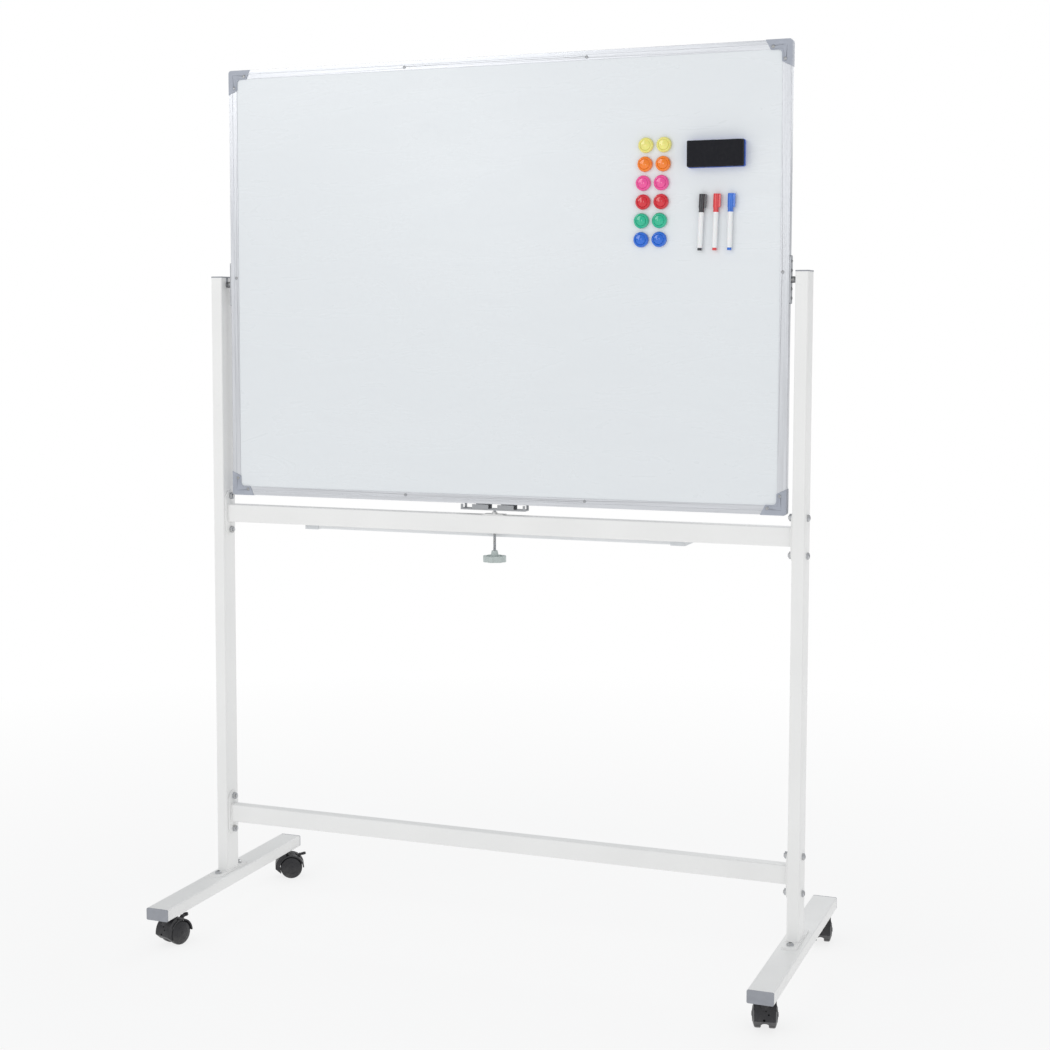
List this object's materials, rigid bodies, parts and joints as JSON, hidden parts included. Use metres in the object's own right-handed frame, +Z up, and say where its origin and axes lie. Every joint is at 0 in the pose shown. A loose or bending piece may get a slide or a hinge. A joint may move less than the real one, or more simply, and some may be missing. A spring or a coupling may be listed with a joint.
{
  "type": "rolling whiteboard",
  "caption": "Double-sided magnetic whiteboard that turns end over end in a steel stand with a rear pen tray, a screw clamp and braked twin-wheel casters.",
  "frame": {"origin": "on the floor, under the centre of the board, midway between the posts", "axes": "+X to the viewer's right facing the front writing side, +Y from the front towards the pen tray at the back, +Z up"},
  "size_m": [1.305, 0.6159, 1.8228],
  "materials": {
    "white_powder_coat": "fine textured powder coat",
    "tray_paint": "satin",
    "tray_cap_plastic": "satin",
    "grey_end_plastic": "satin",
    "zinc_bolts": "zinc plated",
    "small_screws": "zinc plated",
    "caster_stem_zinc": "zinc plated",
    "writing_enamel": "glossy enamel",
    "fibre_core": "raw fibreboard",
    "frame_aluminium": "satin anodised",
    "corner_plastic": "satin",
    "pivot_plate_steel": "satin",
    "pivot_pin_steel": "satin",
    "magnet_yellow": "gloss",
    "magnet_orange": "gloss",
    "magnet_pink": "gloss",
    "magnet_red": "gloss",
    "magnet_green": "gloss",
    "magnet_blue": "gloss",
    "eraser_plastic": "satin",
    "eraser_felt": "matte felt",
    "marker_white": "gloss",
    "marker_black": "gloss",
    "marker_red": "gloss",
    "marker_blue": "gloss",
    "clamp_grey": "satin",
    "clamp_rod_zinc": "zinc plated thread",
    "knob_plastic": "satin",
    "caster_nylon": "satin",
    "wheel_nylon": "satin",
    "axle_steel": "ground",
    "brake_nylon": "satin"
  },
  "bodies": {
    "stand": {"left_foot": "white_powder_coat", "right_foot": "white_powder_coat", "foot_end_caps": "grey_end_plastic", "left_post": "white_powder_coat", "right_post": "white_powder_coat", "post_base_plates": "white_powder_coat", "base_bolts": "zinc_bolts", "post_top_caps": "grey_end_plastic", "upper_crossbar": "white_powder_coat", "lower_crossbar": "white_powder_coat", "crossbar_end_plates": "white_powder_coat", "crossbar_bolts": "zinc_bolts", "crossbar_nuts": "zinc_bolts", "tray": "tray_paint", "tray_end_caps": "tray_cap_plastic", "tray_screws": "small_screws", "clamp_bush": "white_powder_coat", "caster_stems": "caster_stem_zinc"},
    "board": {"front_sheet": "writing_enamel", "back_sheet": "writing_enamel", "board_core": "fibre_core", "top_rail": "frame_aluminium", "bottom_rail": "frame_aluminium", "side_rails": "frame_aluminium", "corner_caps": "corner_plastic", "frame_screws": "small_screws", "pivot_plates": "pivot_plate_steel", "pivot_plate_screws": "small_screws", "pivot_pins": "pivot_pin_steel", "yellow_magnets": "magnet_yellow", "orange_magnets": "magnet_orange", "pink_magnets": "magnet_pink", "red_magnets": "magnet_red", "green_magnets": "magnet_green", "blue_magnets": "magnet_blue", "eraser_body": "eraser_plastic", "eraser_felt": "eraser_felt", "marker_barrels": "marker_white", "black_marker_cap": "marker_black", "red_marker_cap": "marker_red", "blue_marker_cap": "marker_blue"},
    "clamp": {"clamp_channel": "clamp_grey"},
    "clamp_screw_and_knob": {"clamp_screw": "clamp_rod_zinc", "clamp_knob": "knob_plastic"},
    "front_left_caster": {"front_left_hood": "caster_nylon"},
    "front_left_wheel_pair": {"front_left_wheels": "wheel_nylon", "front_left_axle": "axle_steel"},
    "front_left_brake_lever": {"front_left_brake": "brake_nylon"},
    "back_left_caster": {"back_left_hood": "caster_nylon"},
    "back_left_wheel_pair": {"back_left_wheels": "wheel_nylon", "back_left_axle": "axle_steel"},
    "back_left_brake_lever": {"back_left_brake": "brake_nylon"},
    "front_right_caster": {"front_right_hood": "caster_nylon"},
    "front_right_wheel_pair": {"front_right_wheels": "wheel_nylon", "front_right_axle": "axle_steel"},
    "front_right_brake_lever": {"front_right_brake": "brake_nylon"},
    "back_right_caster": {"back_right_hood": "caster_nylon"},
    "back_right_wheel_pair": {"back_right_wheels": "wheel_nylon", "back_right_axle": "axle_steel"},
    "back_right_brake_lever": {"back_right_brake": "brake_nylon"}
  },
  "joints": [
    {"name": "board_turn", "type": "hinge", "parent": "stand", "child": "board", "pos_m": [0, 0, 1.372], "axis": [1, 0, 0], "continuous": true},
    {"name": "clamp_lift", "type": "slide", "parent": "stand", "child": "clamp", "axis": [0, 0, 1], "range_m": [0, 0.0094]},
    {"name": "knob_turn", "type": "hinge", "parent": "clamp", "child": "clamp_screw_and_knob", "pos_m": [0, 0, 0.85], "axis": [0, 0, 1], "range_deg": [0, 3385]},
    {"name": "front_left_swivel", "type": "hinge", "parent": "stand", "child": "front_left_caster", "pos_m": [-0.6275, -0.26, 0.055], "axis": [0, 0, 1], "continuous": true},
    {"name": "front_left_roll", "type": "hinge", "parent": "front_left_caster", "child": "front_left_wheel_pair", "pos_m": [-0.62099, -0.24109, 0.025], "axis": [0.9455, -0.3256, 0], "continuous": true},
    {"name": "front_left_brake_press", "type": "hinge", "parent": "front_left_caster", "child": "front_left_brake_lever", "pos_m": [-0.61773, -0.23163, 0.042], "axis": [-0.9455, 0.3256, 0], "range_deg": [0, 10]},
    {"name": "back_left_swivel", "type": "hinge", "parent": "stand", "child": "back_left_caster", "pos_m": [-0.6275, 0.26, 0.055], "axis": [0, 0, 1], "continuous": true},
    {"name": "back_left_roll", "type": "hinge", "parent": "back_left_caster", "child": "back_left_wheel_pair", "pos_m": [-0.60984, 0.26939, 0.025], "axis": [0.4695, -0.8829, 0], "continuous": true},
    {"name": "back_left_brake_press", "type": "hinge", "parent": "back_left_caster", "child": "back_left_brake_lever", "pos_m": [-0.60101, 0.27408, 0.042], "axis": [-0.4695, 0.8829, 0], "range_deg": [0, 10]},
    {"name": "front_right_swivel", "type": "hinge", "parent": "stand", "child": "front_right_caster", "pos_m": [0.6275, -0.26, 0.055], "axis": [0, 0, 1], "continuous": true},
    {"name": "front_right_roll", "type": "hinge", "parent": "front_right_caster", "child": "front_right_wheel_pair", "pos_m": [0.623, -0.24051, 0.025], "axis": [0.9744, 0.225, 0], "continuous": true},
    {"name": "front_right_brake_press", "type": "hinge", "parent": "front_right_caster", "child": "front_right_brake_lever", "pos_m": [0.62075, -0.23077, 0.042], "axis": [-0.9744, -0.225, 0], "range_deg": [0, 10]},
    {"name": "back_right_swivel", "type": "hinge", "parent": "stand", "child": "back_right_caster", "pos_m": [0.6275, 0.26, 0.055], "axis": [0, 0, 1], "continuous": true},
    {"name": "back_right_roll", "type": "hinge", "parent": "back_right_caster", "child": "back_right_wheel_pair", "pos_m": [0.62368, 0.27963, 0.025], "axis": [0.9816, 0.1908, 0], "continuous": true},
    {"name": "back_right_brake_press", "type": "hinge", "parent": "back_right_caster", "child": "back_right_brake_lever", "pos_m": [0.62178, 0.28945, 0.042], "axis": [-0.9816, -0.1908, 0], "range_deg": [0, 10]}
  ],
  "couplings": [
    {"joint": "knob_turn", "follows": "clamp_lift", "rad_per_m": 6283.2}
  ]
}
